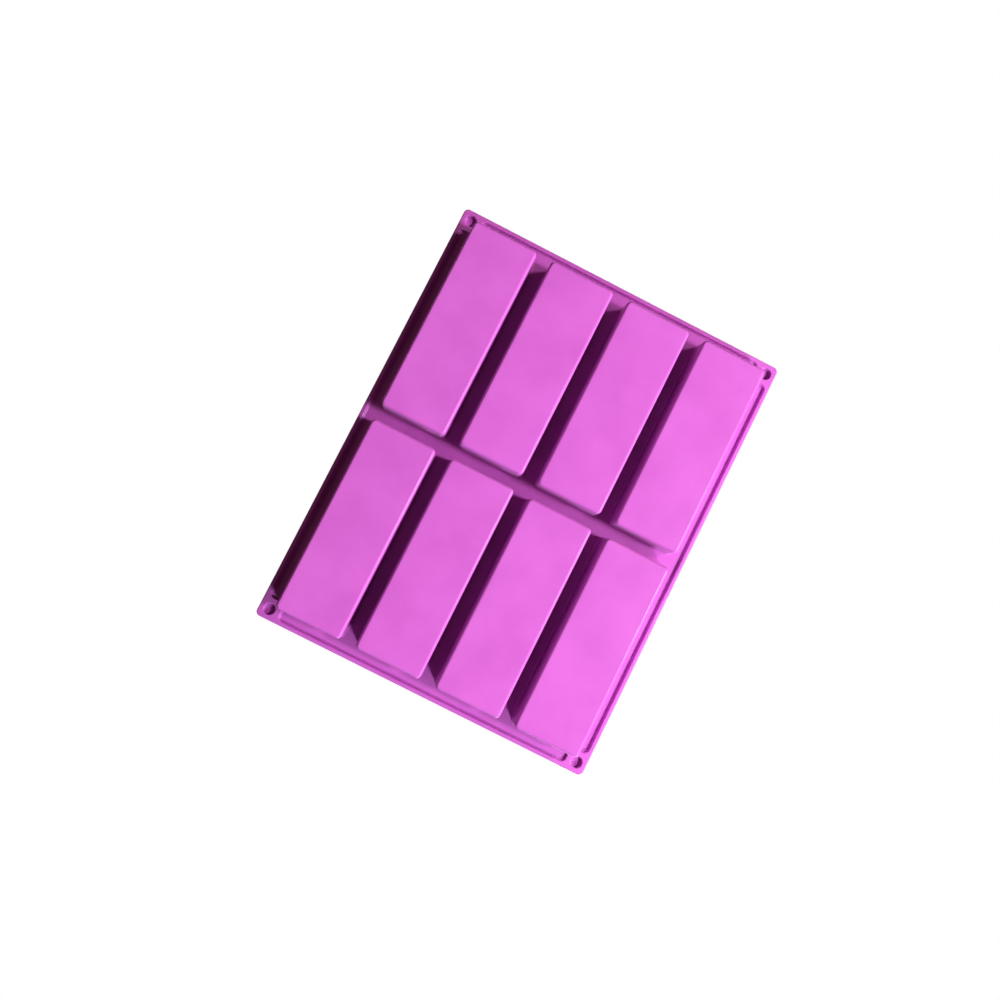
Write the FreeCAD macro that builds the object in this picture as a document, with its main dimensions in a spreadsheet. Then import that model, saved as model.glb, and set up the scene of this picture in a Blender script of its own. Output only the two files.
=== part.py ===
import FreeCAD, Part
import math
import os

import Sketcher

# Eight-cavity silicone bar-soap mould, standing as it is used: on the floors of its cups, mouths up.
# Origin: the centre of the plane that the eight cup floors stand on. X runs along the long side, Y along
# the short side, Z up. The real mould is one moulding, so the sub-parts are its features, meeting face to
# face: eight cups, the web between them, four rim rails and four corner bosses. Millimetres throughout.

# alias, value, what it measures
DIMENSIONS = (
    ("overall_length", 295.0, "outer size of the rim along X"),
    ("overall_width", 231.5, "outer size of the rim along Y"),
    ("overall_height", 25.0, "underside of the cup floors to the deck's top face"),
    ("rim_corner_radius", 4.0, "plan radius of the rim's outer corners"),
    ("deck_thickness", 2.2, "web between the cups"),
    ("rim_thickness", 4.2, "rim rails and corner bosses, which stand down from the web"),
    ("rail_width", 3.0, "width of a rim rail"),
    ("rim_edge_radius", 0.8, "rounding of the rim's outer edges"),
    ("rail_inner_radius", 0.5, "rounding of a rail's lower inner edge"),
    ("cup_length", 131.4, "outer length of a cup at its floor"),
    ("cup_width", 44.3, "outer width of a cup at its floor"),
    ("cup_corner_radius", 3.0, "outer vertical corners of a cup, at its floor"),
    ("cup_pitch_x", 141.3, "cup centre to cup centre along X"),
    ("cup_pitch_y", 54.7, "cup centre to cup centre along Y"),
    ("cups_along_x", 2, "cups along the long side"),
    ("cups_along_y", 4, "cups along the short side"),
    ("draft_angle", 0.75, "draft of the cup walls in degrees, opening upwards"),
    ("wall_thickness", 2.0, "wall of a cup"),
    ("floor_thickness", 2.0, "floor of a cup"),
    ("cavity_corner_radius", 1.8, "vertical corners of the cavity, at its floor"),
    ("floor_edge_radius", 1.8, "rounding under the cup's floor"),
    ("cavity_edge_radius", 1.6, "hollow rounding between the cavity's floor and its walls"),
    ("mouth_edge_radius", 0.8, "rounding of the cavity's mouth"),
    ("boss_side", 14.2, "outer side of the rim to the end of the channel beside a cup"),
    ("boss_arm", 18.4, "outer side of the rim to the rail that a boss runs into"),
    ("channel_end_radius", 3.2, "plan radius where a channel ends at a boss"),
    ("recess_inset", 6.8, "centre of the recess from both outer sides"),
    ("recess_radius", 3.75, "blind recess under each corner boss"),
    ("recess_depth", 3.0, "depth of the blind recess"),
    ("recess_edge_radius", 0.4, "rounding of the recess's mouth"),
)

RIM_BOTTOM = "(dimensions.overall_height - dimensions.rim_thickness)"
WEB_BOTTOM = "(dimensions.overall_height - dimensions.deck_thickness)"
SIDE_MARGIN = {
    "x": "(dimensions.overall_length - (dimensions.cups_along_x - 1) * dimensions.cup_pitch_x"
         " - dimensions.cup_length) / 2",
    "y": "(dimensions.overall_width - (dimensions.cups_along_y - 1) * dimensions.cup_pitch_y"
         " - dimensions.cup_width) / 2",
}

ORIGIN_POINT = (-1, 1)
AXIS_OF = {"x": -2, "y": -1}
DISTANCE_ALONG = {"x": "DistanceX", "y": "DistanceY"}
STARTS, ENDS, CENTRE = 1, 2, 3
TINY = 1e-4


def number(owner, expression):
    """Value of an expression as a plain number."""
    return float(owner.evalExpression(expression))


def make_sheet(document):
    """Spreadsheet that holds each driving dimension under its alias."""
    sheet = document.addObject("Spreadsheet::Sheet", "dimensions")
    for row, (alias, value, note) in enumerate(DIMENSIONS, start=1):
        sheet.set(f"A{row}", note)
        sheet.set(f"B{row}", str(value))
        sheet.setAlias(f"B{row}", alias)
    document.recompute()
    return sheet


def new_body(document, label):
    """Empty body whose label names its file."""
    body = document.addObject("PartDesign::Body", label)
    body.Label = label
    return body


def new_sketch(body, name, height="0", plane="XY_Plane"):
    """Sketch on one of the body's own origin planes, raised along the plane's normal."""
    sketch = body.newObject("Sketcher::SketchObject", name)
    support = next(item for item in body.Origin.OriginFeatures if item.Role == plane)
    sketch.AttachmentSupport = [(support, "")]
    sketch.MapMode = "FlatFace"
    sketch.setExpression(".AttachmentOffset.Base.z", height)
    return sketch


def bind_distance(sketch, axis, element, expression):
    """Hold a point at a signed distance from the sketch's origin along one axis."""
    value = number(sketch, expression)
    if abs(value) < TINY:
        sketch.addConstraint(Sketcher.Constraint("PointOnObject", *element, AXIS_OF[axis]))
        return
    ends = (*ORIGIN_POINT, *element) if value > 0 else (*element, *ORIGIN_POINT)
    index = sketch.addConstraint(Sketcher.Constraint(DISTANCE_ALONG[axis], *ends, abs(value)))
    sketch.setExpression(f"Constraints[{index}]", expression if value > 0 else f"-({expression})")


def draw_outline(sketch, sides):
    """Draw a closed outline of upright and level sides.

    Each side is (axis, place, corner): an "x" side stands at that x, a "y" side lies at that y, and
    corner is the radius expression of the corner that follows it, or None for a sharp one.
    """
    places = [number(sketch, place) for _, place, _ in sides]
    radii = [number(sketch, corner) if corner else 0.0 for _, _, corner in sides]
    corners = []
    for index, (axis, _, _) in enumerate(sides):
        following = places[(index + 1) % len(sides)]
        pair = (places[index], following) if axis == "x" else (following, places[index])
        corners.append(FreeCAD.Vector(*pair, 0))
    headings = [(corners[index] - corners[index - 1]).normalize() for index in range(len(sides))]

    lines = []
    for index, (axis, place, _) in enumerate(sides):
        begin = corners[index - 1] + headings[index] * radii[index - 1]
        finish = corners[index] - headings[index] * radii[index]
        lines.append(sketch.addGeometry(Part.LineSegment(begin, finish), False))
        sketch.addConstraint(Sketcher.Constraint("Vertical" if axis == "x" else "Horizontal", lines[-1]))
        bind_distance(sketch, axis, (lines[-1], STARTS), place)

    for index, (_, _, corner) in enumerate(sides):
        after = (index + 1) % len(sides)
        joint = (lines[index], ENDS), (lines[after], STARTS)
        if not corner:
            sketch.addConstraint(Sketcher.Constraint("Coincident", *joint[0], *joint[1]))
            continue
        radius = radii[index]
        begin = corners[index] - headings[index] * radius
        finish = corners[index] + headings[after] * radius
        centre = corners[index] + (headings[after] - headings[index]) * radius
        middle = centre + (headings[index] - headings[after]) * (radius / math.sqrt(2))
        curve = sketch.addGeometry(Part.Arc(begin, middle, finish), False)
        forward = (sketch.getPoint(curve, STARTS) - begin).Length < TINY
        near, far = (STARTS, ENDS) if forward else (ENDS, STARTS)
        sketch.addConstraint(Sketcher.Constraint("Tangent", *joint[0], curve, near))
        sketch.addConstraint(Sketcher.Constraint("Tangent", curve, far, *joint[1]))
        bound = sketch.addConstraint(Sketcher.Constraint("Radius", curve, radius))
        sketch.setExpression(f"Constraints[{bound}]", corner)


def draw_centred_rectangle(sketch, length, width, radius):
    """Rounded rectangle about the sketch's origin; radius None leaves sharp corners."""
    draw_outline(sketch, (
        ("y", f"-({width}) / 2", radius),
        ("x", f"({length}) / 2", radius),
        ("y", f"({width}) / 2", radius),
        ("x", f"-({length}) / 2", radius),
    ))


def draw_boss_outline(sketch):
    """Plan of a corner boss, outer corner at the sketch's origin, with the round ends of two channels."""
    arm, side, rail = "dimensions.boss_arm", "dimensions.boss_side", "dimensions.rail_width"
    turn = "dimensions.channel_end_radius"
    draw_outline(sketch, (
        ("y", "0", None),
        ("x", arm, None),
        ("y", rail, turn),
        ("x", side, None),
        ("y", side, turn),
        ("x", rail, None),
        ("y", arm, None),
        ("x", "0", "dimensions.rim_corner_radius"),
    ))


def draw_cup_corner(sketch, margin_x, margin_y):
    """Outline of a cup's floor whose nearest corner stands the two margins from the sketch's origin."""
    reach = "dimensions.cup_width"
    radius = "dimensions.cup_corner_radius"
    draw_outline(sketch, (
        ("y", margin_y, radius),
        ("x", f"{margin_x} + {reach}", radius),
        ("y", f"{margin_y} + {reach}", radius),
        ("x", margin_x, radius),
    ))


def pad(body, sketch, name, length, draft=None):
    """Solid raised from a sketch along its normal, growing by the draft if there is one."""
    feature = body.newObject("PartDesign::Pad", name)
    feature.Profile = sketch
    feature.setExpression("Length", length)
    if draft:
        feature.setExpression("TaperAngle", draft)
    body.Document.recompute()
    return feature


def pocket_up(body, sketch, name, length, draft=None):
    """Cut raised from a sketch along its normal, growing by the draft if there is one."""
    volume_before = body.Tip.Shape.Volume
    feature = body.newObject("PartDesign::Pocket", name)
    feature.Profile = sketch
    feature.Reversed = True
    feature.setExpression("Length", length)
    if draft:
        feature.setExpression("TaperAngle", draft)
    body.Document.recompute()
    if feature.Shape.Volume > volume_before - TINY:
        raise RuntimeError(f"{body.Label}: {name} cut nothing")
    return feature


def round_edges(body, name, radius, chosen):
    """Fillet the tip's edges that the chosen test accepts, given the tip's shape and the edge."""
    base = body.Tip
    shape = base.Shape
    edges = [f"Edge{index}" for index, edge in enumerate(shape.Edges, start=1) if chosen(shape, edge)]
    if not edges:
        raise RuntimeError(f"{body.Label}: {name} found no edge")
    fillet = body.newObject("PartDesign::Fillet", name)
    fillet.Base = (base, edges)
    fillet.setExpression("Radius", radius)
    body.Document.recompute()
    return fillet


def lies_at(item, height):
    """Whether an edge or a face is level and lies at a height."""
    box = item.BoundBox
    return box.ZLength < TINY and abs(box.ZMin - height) < TINY


def bounds_opening(shape, edge, height):
    """Whether an edge bounds a hole in a level face at a height."""
    for face in shape.Faces:
        if not lies_at(face, height):
            continue
        for wire in face.Wires:
            if not wire.isSame(face.OuterWire) and any(edge.isSame(member) for member in wire.Edges):
                return True
    return False


def on_outer_side(edge):
    """Whether a corner boss's edge belongs to the rim's outer outline, in the boss's own frame."""
    box = edge.BoundBox
    return box.XMax < TINY or box.YMax < TINY or (box.XMin < TINY and box.YMin < TINY)


def repeat(body, feature, name, members):
    """Repeat a feature by the transformations in members, one after the other."""
    transform = body.newObject("PartDesign::MultiTransform", name)
    transform.Originals = [feature]
    transform.Transformations = members
    body.Tip = transform
    body.Document.recompute()
    return transform


def origin_feature(body, role):
    """One of the body's own origin planes or axes."""
    return next(item for item in body.Origin.OriginFeatures if item.Role == role)


def mirror_member(body, name, plane):
    """Mirror across one of the body's origin planes, for use in a repeat."""
    member = body.newObject("PartDesign::Mirrored", name)
    member.MirrorPlane = (origin_feature(body, plane), [""])
    return member


def row_member(body, name, axis, length, count):
    """Row along one of the body's origin axes, for use in a repeat."""
    member = body.newObject("PartDesign::LinearPattern", name)
    member.Direction = (origin_feature(body, axis), [""])
    member.setExpression("Length", length)
    member.setExpression("Occurrences", count)
    return member


def place_body(body, x, y, quarter_turns=0):
    """Put a body at expressions for X and Y, turned about Z by quarter turns."""
    body.Placement.Rotation = FreeCAD.Rotation(FreeCAD.Vector(0, 0, 1), 90 * quarter_turns)
    body.setExpression(".Placement.Base.x", x)
    body.setExpression(".Placement.Base.y", y)


def make_cup(document, label, column, row):
    """One bar cavity: floor, four drafted walls and the mouth in the deck's top face."""
    body = new_body(document, label)
    outer = new_sketch(body, "floor_outline")
    draw_centred_rectangle(
        outer, "dimensions.cup_length", "dimensions.cup_width", "dimensions.cup_corner_radius")
    pad(body, outer, "walls", "dimensions.overall_height", "dimensions.draft_angle")
    round_edges(body, "floor_edge", "dimensions.floor_edge_radius", lambda _, edge: lies_at(edge, 0))

    inner = new_sketch(body, "cavity_outline", "dimensions.floor_thickness")
    draw_centred_rectangle(
        inner,
        "dimensions.cup_length - 2 * dimensions.wall_thickness",
        "dimensions.cup_width - 2 * dimensions.wall_thickness",
        "dimensions.cavity_corner_radius")
    depth = "dimensions.overall_height - dimensions.floor_thickness"
    pocket_up(body, inner, "cavity", depth, "dimensions.draft_angle")

    floor = number(body, "dimensions.floor_thickness")
    round_edges(body, "cavity_edge", "dimensions.cavity_edge_radius", lambda _, edge: lies_at(edge, floor))
    top = number(body, "dimensions.overall_height")
    round_edges(
        body, "mouth_edge", "dimensions.mouth_edge_radius",
        lambda shape, edge: bounds_opening(shape, edge, top))
    place_body(
        body,
        f"({column} - (dimensions.cups_along_x - 1) / 2) * dimensions.cup_pitch_x",
        f"({row} - (dimensions.cups_along_y - 1) / 2) * dimensions.cup_pitch_y")
    return body


def make_web(document):
    """Flat web inside the rim rails, notched for the corner bosses, with a window for each cup."""
    body = new_body(document, "deck_web")
    plate = new_sketch(body, "plate_outline", WEB_BOTTOM)
    draw_centred_rectangle(
        plate,
        "dimensions.overall_length - 2 * dimensions.rail_width",
        "dimensions.overall_width - 2 * dimensions.rail_width",
        None)
    pad(body, plate, "plate", "dimensions.deck_thickness")

    corner = new_sketch(body, "notch_outline", WEB_BOTTOM)
    draw_boss_outline(corner)
    corner.setExpression(".AttachmentOffset.Base.x", "-dimensions.overall_length / 2")
    corner.setExpression(".AttachmentOffset.Base.y", "-dimensions.overall_width / 2")
    notch = pocket_up(body, corner, "corner_notch", "dimensions.deck_thickness")
    repeat(body, notch, "corner_notches", [
        mirror_member(body, "notch_to_right", "YZ_Plane"),
        mirror_member(body, "notch_to_back", "XZ_Plane"),
    ])

    cup = new_sketch(body, "window_outline")
    draw_centred_rectangle(
        cup, "dimensions.cup_length", "dimensions.cup_width", "dimensions.cup_corner_radius")
    row_length = "(dimensions.cups_along_x - 1) * dimensions.cup_pitch_x"
    column_length = "(dimensions.cups_along_y - 1) * dimensions.cup_pitch_y"
    cup.setExpression(".AttachmentOffset.Base.x", f"-({row_length}) / 2")
    cup.setExpression(".AttachmentOffset.Base.y", f"-({column_length}) / 2")
    window = pocket_up(body, cup, "window", "dimensions.overall_height", "dimensions.draft_angle")
    repeat(body, window, "windows", [
        row_member(body, "windows_along_x", "X_Axis", row_length, "dimensions.cups_along_x"),
        row_member(body, "windows_along_y", "Y_Axis", column_length, "dimensions.cups_along_y"),
    ])
    return body


def make_rail(document, label, side, quarter_turns, x, y):
    """Rim rail between two bosses: outer face at its own Y = 0, inner face towards +Y."""
    body = new_body(document, label)
    length = f"(dimensions.{side} - 2 * dimensions.boss_arm)"
    section = new_sketch(body, "section", f"-{length} / 2", "YZ_Plane")
    outer = "dimensions.rim_edge_radius"
    draw_outline(section, (
        ("y", RIM_BOTTOM, "dimensions.rail_inner_radius"),
        ("x", "dimensions.rail_width", None),
        ("y", "dimensions.overall_height", outer),
        ("x", "0", outer),
    ))
    pad(body, section, "rail", length)
    place_body(body, x, y, quarter_turns)
    return body


def make_boss(document, label, quarter_turns, x, y):
    """Corner boss with its blind recess: outer corner at its own origin, inner sides against a cup."""
    body = new_body(document, label)
    plan = new_sketch(body, "plan", RIM_BOTTOM)
    draw_boss_outline(plan)
    pad(body, plan, "boss", "dimensions.rim_thickness")

    bottom = number(body, RIM_BOTTOM)
    top = number(body, "dimensions.overall_height")
    round_edges(
        body, "outer_edges", "dimensions.rim_edge_radius",
        lambda _, edge: on_outer_side(edge) and (lies_at(edge, bottom) or lies_at(edge, top)))

    odd = quarter_turns % 2
    margins = (SIDE_MARGIN["y"], SIDE_MARGIN["x"]) if odd else (SIDE_MARGIN["x"], SIDE_MARGIN["y"])
    cup = new_sketch(body, "cup_outline")
    draw_cup_corner(cup, *margins)
    pocket_up(body, cup, "cup_seat", "dimensions.overall_height", "dimensions.draft_angle")

    recess = new_sketch(body, "recess_outline", RIM_BOTTOM)
    inset = "dimensions.recess_inset"
    radius = "dimensions.recess_radius"
    centre = FreeCAD.Vector(number(body, inset), number(body, inset), 0)
    circle = recess.addGeometry(Part.Circle(centre, FreeCAD.Vector(0, 0, 1), number(body, radius)), False)
    bind_distance(recess, "x", (circle, CENTRE), inset)
    bind_distance(recess, "y", (circle, CENTRE), inset)
    bound = recess.addConstraint(Sketcher.Constraint("Radius", circle, number(body, radius)))
    recess.setExpression(f"Constraints[{bound}]", radius)
    pocket_up(body, recess, "recess", "dimensions.recess_depth")
    round_edges(
        body, "recess_edge", "dimensions.recess_edge_radius",
        lambda shape, edge: bounds_opening(shape, edge, bottom))
    place_body(body, x, y, quarter_turns)
    return body


def check_document(document, bodies):
    """Stop if any object failed to compute, or a sub-part isn't one sound solid."""
    for item in document.Objects:
        if {"Invalid", "Error"} & set(item.State):
            raise RuntimeError(f"{item.Name} is {item.State}")
    for body in bodies:
        shape = body.Shape
        if shape.isNull() or not shape.isValid() or len(shape.Solids) != 1:
            raise RuntimeError(f"{body.Label} isn't one valid solid")


def build():
    """Build the document and write each sub-part's solid to parts/LABEL.step."""
    document = FreeCAD.newDocument("bar_soap_mould")
    sheet = make_sheet(document)
    half_x, half_y = "dimensions.overall_length / 2", "dimensions.overall_width / 2"

    bodies = [make_web(document)]
    for column, side in enumerate(("left", "right")):
        for row in range(int(sheet.cups_along_y)):
            bodies.append(make_cup(document, f"cavity_cup_{side}_{row + 1}", column, row))
    for label, side, quarter_turns, x, y in (
        ("rim_rail_front", "overall_length", 0, "0", f"-{half_y}"),
        ("rim_rail_right", "overall_width", 1, half_x, "0"),
        ("rim_rail_back", "overall_length", 2, "0", half_y),
        ("rim_rail_left", "overall_width", 3, f"-{half_x}", "0"),
    ):
        bodies.append(make_rail(document, label, side, quarter_turns, x, y))
    for label, quarter_turns, x, y in (
        ("corner_boss_front_left", 0, f"-{half_x}", f"-{half_y}"),
        ("corner_boss_front_right", 1, half_x, f"-{half_y}"),
        ("corner_boss_back_right", 2, half_x, half_y),
        ("corner_boss_back_left", 3, f"-{half_x}", half_y),
    ):
        bodies.append(make_boss(document, label, quarter_turns, x, y))

    document.recompute()
    check_document(document, bodies)
    os.makedirs("parts", exist_ok=True)
    for body in bodies:
        body.Shape.exportStep(f"parts/{body.Label}.step")
        box = body.Shape.BoundBox
        print(f"{body.Label}: {body.Shape.Volume:.0f} mm3, "
              f"{box.XLength:.2f} x {box.YLength:.2f} x {box.ZLength:.2f} mm")


build()
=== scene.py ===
"""Eight-cavity silicone mould for bars of soap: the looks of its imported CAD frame.

The mould is one moulding, so every piece here is a moulded feature of it and all of them carry the same
silicone. Each piece stands for one CAD node and fills the same space, with the soft fillets that a moulding
has where its cups, lip and corner pads run into the web. Metres, in the CAD frame: the cups stand on their
floors at Z = 0 with their mouths up, and the camera looks up at the underside.
"""

import logging
import math
from collections.abc import Iterable, Sequence
from dataclasses import dataclass, field
from enum import Enum
from typing import Any

import bmesh
import bpy
import numpy as np
from mathutils import Matrix, Vector
from mathutils.geometry import tessellate_polygon


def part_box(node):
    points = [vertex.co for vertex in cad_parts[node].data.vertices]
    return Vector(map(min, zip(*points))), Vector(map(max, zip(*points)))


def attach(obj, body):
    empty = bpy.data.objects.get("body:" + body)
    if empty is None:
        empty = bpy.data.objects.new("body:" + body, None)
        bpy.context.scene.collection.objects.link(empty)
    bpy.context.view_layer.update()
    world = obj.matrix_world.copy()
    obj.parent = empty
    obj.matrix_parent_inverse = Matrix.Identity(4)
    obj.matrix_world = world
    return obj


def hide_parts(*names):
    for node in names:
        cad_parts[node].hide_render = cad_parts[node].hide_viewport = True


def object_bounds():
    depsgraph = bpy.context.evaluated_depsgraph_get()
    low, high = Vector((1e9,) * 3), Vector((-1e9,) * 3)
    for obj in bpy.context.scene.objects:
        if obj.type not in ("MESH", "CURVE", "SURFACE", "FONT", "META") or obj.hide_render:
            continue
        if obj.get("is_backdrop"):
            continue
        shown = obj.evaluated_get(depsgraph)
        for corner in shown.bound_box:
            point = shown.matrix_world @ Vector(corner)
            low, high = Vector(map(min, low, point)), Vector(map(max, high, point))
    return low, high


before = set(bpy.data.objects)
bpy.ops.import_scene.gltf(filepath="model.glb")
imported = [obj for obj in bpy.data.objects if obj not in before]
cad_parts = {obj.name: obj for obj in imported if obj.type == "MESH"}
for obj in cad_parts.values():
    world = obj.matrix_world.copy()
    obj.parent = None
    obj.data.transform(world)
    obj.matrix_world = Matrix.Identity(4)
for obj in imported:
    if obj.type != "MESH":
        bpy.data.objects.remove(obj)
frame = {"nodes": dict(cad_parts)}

MM = 0.001
BODY = "root"
WELD = 1e-6
SHARP_ANGLE = math.radians(40)  # folds steeper than this stay sharp
NORMAL_WEIGHT = 100  # large flat faces decide the shading of the edges beside them
LONE_FACE_LIMIT = 1.5  # an edge with fewer faces than this is open
BOX_SLACK = 2.5 * MM  # how far a piece's fillets may stand out of its node's box
PLACE_DIGITS = 5  # places in metres that tell one row of cups from the next

log = logging.getLogger("soap_mould")

Point = tuple[float, float]
Line = list[Point]
Colour = tuple[float, float, float]


# ---------------------------------------------------------------- plain geometry


def arc(centre: Point, radius: float, start: float, end: float, steps: int) -> Line:
    """Points along an arc, both ends included.

    Args:
        centre: middle of the arc's circle.
        radius: its radius.
        start: angle of the first point, in degrees.
        end: angle of the last point, in degrees.
        steps: straight pieces that the arc is made of.

    Returns:
        The points, from start to end.
    """
    angles = np.radians(np.linspace(start, end, steps + 1))
    return [(centre[0] + radius * math.cos(a), centre[1] + radius * math.sin(a)) for a in angles]


def link(obj: bpy.types.Object) -> bpy.types.Object:
    """Put an object in the scene and hand it back."""
    bpy.context.scene.collection.objects.link(obj)
    return obj


def plain_mesh(name: str, points: Sequence[Sequence[float]],
               faces: Iterable[Sequence[int]]) -> bpy.types.Mesh:
    """Mesh from points and faces.

    Args:
        name: the mesh's name.
        points: its vertices.
        faces: vertex numbers of each face.

    Returns:
        The new mesh.
    """
    mesh = bpy.data.meshes.new(name)
    mesh.from_pydata([tuple(p) for p in points], [], [tuple(f) for f in faces])
    mesh.update()
    return mesh


def sealed(mesh: bpy.types.Mesh) -> bpy.types.Mesh:
    """Weld a mesh, turn its faces outwards and stop if it isn't closed.

    Args:
        mesh: the mesh to finish, changed in place.

    Returns:
        The same mesh.
    """
    work = bmesh.new()
    work.from_mesh(mesh)
    bmesh.ops.remove_doubles(work, verts=work.verts, dist=WELD)
    bmesh.ops.dissolve_degenerate(work, edges=work.edges, dist=WELD)
    bmesh.ops.recalc_face_normals(work, faces=work.faces)
    if work.calc_volume(signed=True) < 0:
        bmesh.ops.reverse_faces(work, faces=work.faces)
    open_edges = sum(1 for edge in work.edges if len(edge.link_faces) != 2)
    work.to_mesh(mesh)
    work.free()
    if open_edges:
        raise RuntimeError(f"{mesh.name} has {open_edges} open edges")
    return mesh


def soften(obj: bpy.types.Object) -> bpy.types.Object:
    """Shade rounded edges smoothly while flat faces stay flat, and keep the result in the mesh.

    Args:
        obj: object whose mesh is finished.

    Returns:
        The same object, with no modifier left on it.
    """
    obj.data.shade_smooth()
    obj.data.set_sharp_from_angle(angle=SHARP_ANGLE)
    weighted = obj.modifiers.new("weighted_normals", "WEIGHTED_NORMAL")
    weighted.keep_sharp = True
    weighted.weight = NORMAL_WEIGHT
    return baked(obj)


def baked(obj: bpy.types.Object) -> bpy.types.Object:
    """Swap an object's mesh for what its modifiers make of it, and take the modifiers off.

    Args:
        obj: object with live modifiers.

    Returns:
        The same object, with a plain mesh.
    """
    depsgraph = bpy.context.evaluated_depsgraph_get()
    mesh = bpy.data.meshes.new_from_object(
        obj.evaluated_get(depsgraph), preserve_all_data_layers=True, depsgraph=depsgraph)
    obj.modifiers.clear()
    obj.data = mesh
    return obj


# ---------------------------------------------------------------- geometry node trees


class Kind(Enum):
    """Kinds of input that a tree asks for, by socket type."""

    GEOMETRY = "NodeSocketGeometry"
    LENGTH = "NodeSocketFloat"
    COUNT = "NodeSocketInt"
    VECTOR = "NodeSocketVector"
    OBJECT = "NodeSocketObject"
    MATERIAL = "NodeSocketMaterial"


class Tree:
    """A geometry node tree that is built node by node and asks for its sizes by name."""

    def __init__(self, name: str) -> None:
        """Start an empty tree that takes and gives a geometry.

        Args:
            name: the tree's name.
        """
        self.group = bpy.data.node_groups.new(name, "GeometryNodeTree")
        self.group.is_modifier = True
        self.identifiers: dict[str, str] = {}
        self.asks("Geometry", Kind.GEOMETRY)
        self.group.interface.new_socket("Geometry", in_out="OUTPUT", socket_type=Kind.GEOMETRY.value)
        self.entry = self.group.nodes.new("NodeGroupInput")
        self.exit = self.group.nodes.new("NodeGroupOutput")

    def asks(self, name: str, kind: Kind) -> None:
        """Add a named input of a kind."""
        socket = self.group.interface.new_socket(name, in_out="INPUT", socket_type=kind.value)
        self.identifiers[name] = socket.identifier

    def given(self, name: str) -> bpy.types.NodeSocket:
        """Socket inside the tree that carries a named input."""
        return self.entry.outputs[name]

    def node(self, kind: str, settings: dict[str, Any] | None = None, **feeds: Any) -> bpy.types.Node:
        """Add a node.

        Args:
            kind: its type, without the leading "GeometryNode" or in full.
            settings: its properties.
            feeds: what goes into its inputs, by name with underscores for spaces: a socket or a value.

        Returns:
            The new node.
        """
        full = kind if kind.startswith(("ShaderNode", "FunctionNode")) else "GeometryNode" + kind
        node = self.group.nodes.new(full)
        for key, value in (settings or {}).items():
            setattr(node, key, value)
        for key, value in feeds.items():
            self.feed(node, key.replace("_", " "), value)
        return node

    def feed(self, node: bpy.types.Node, name: str, value: Any, place: int = 0) -> None:
        """Join a socket, or several, or a plain value to an enabled input.

        Args:
            node: node that takes it.
            name: the input's name.
            value: a socket, a list of sockets, or a value.
            place: which of the enabled inputs of that name.
        """
        target = [s for s in node.inputs if s.name == name and s.enabled][place]
        for item in value if isinstance(value, list) else [value]:
            if isinstance(item, bpy.types.NodeSocket):
                self.group.links.new(item, target)
            else:
                target.default_value = item

    def math(self, operation: str, first: Any, second: Any = 0.0) -> bpy.types.NodeSocket:
        """Add a math node.

        Args:
            operation: what it works out.
            first: a socket or a value.
            second: the same, left out of operations on one value.

        Returns:
            The socket with the result.
        """
        node = self.node("ShaderNodeMath", {"operation": operation})
        wanted = sum(socket.enabled for socket in node.inputs)
        for place, value in enumerate((first, second)[:wanted]):
            self.feed(node, "Value", value, place)
        return node.outputs[0]

    def split(self, vector: bpy.types.NodeSocket) -> tuple[bpy.types.NodeSocket, ...]:
        """X, Y and Z of a vector."""
        return tuple(self.node("ShaderNodeSeparateXYZ", Vector=vector).outputs)

    def attribute(self, name: str, data_type: str) -> bpy.types.NodeSocket:
        """Value of a named attribute."""
        return self.node("InputNamedAttribute", {"data_type": data_type}, Name=name).outputs["Attribute"]

    def ends_with(self, geometry: bpy.types.NodeSocket) -> None:
        """Close the tree.

        Args:
            geometry: the result, which is made real and given the material that was asked for.
        """
        real = self.node("RealizeInstances", Geometry=geometry)
        dressed = self.node("SetMaterial", Geometry=real.outputs[0], Material=self.given("Finish"))
        self.group.links.new(dressed.outputs[0], self.exit.inputs["Geometry"])

    def run(self, name: str, base: bpy.types.Mesh, values: dict[str, Any]) -> bpy.types.Object:
        """Run the tree on a mesh and turn the result into a plain one.

        Args:
            name: the new object's name.
            base: mesh that goes in.
            values: value of each named input.

        Returns:
            An object with the result as its mesh and no modifier.
        """
        obj = link(bpy.data.objects.new(name, base))
        modifier = obj.modifiers.new("making", "NODES")
        modifier.node_group = self.group
        for key, value in values.items():
            modifier[self.identifiers[key]] = value
        return baked(obj)


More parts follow.
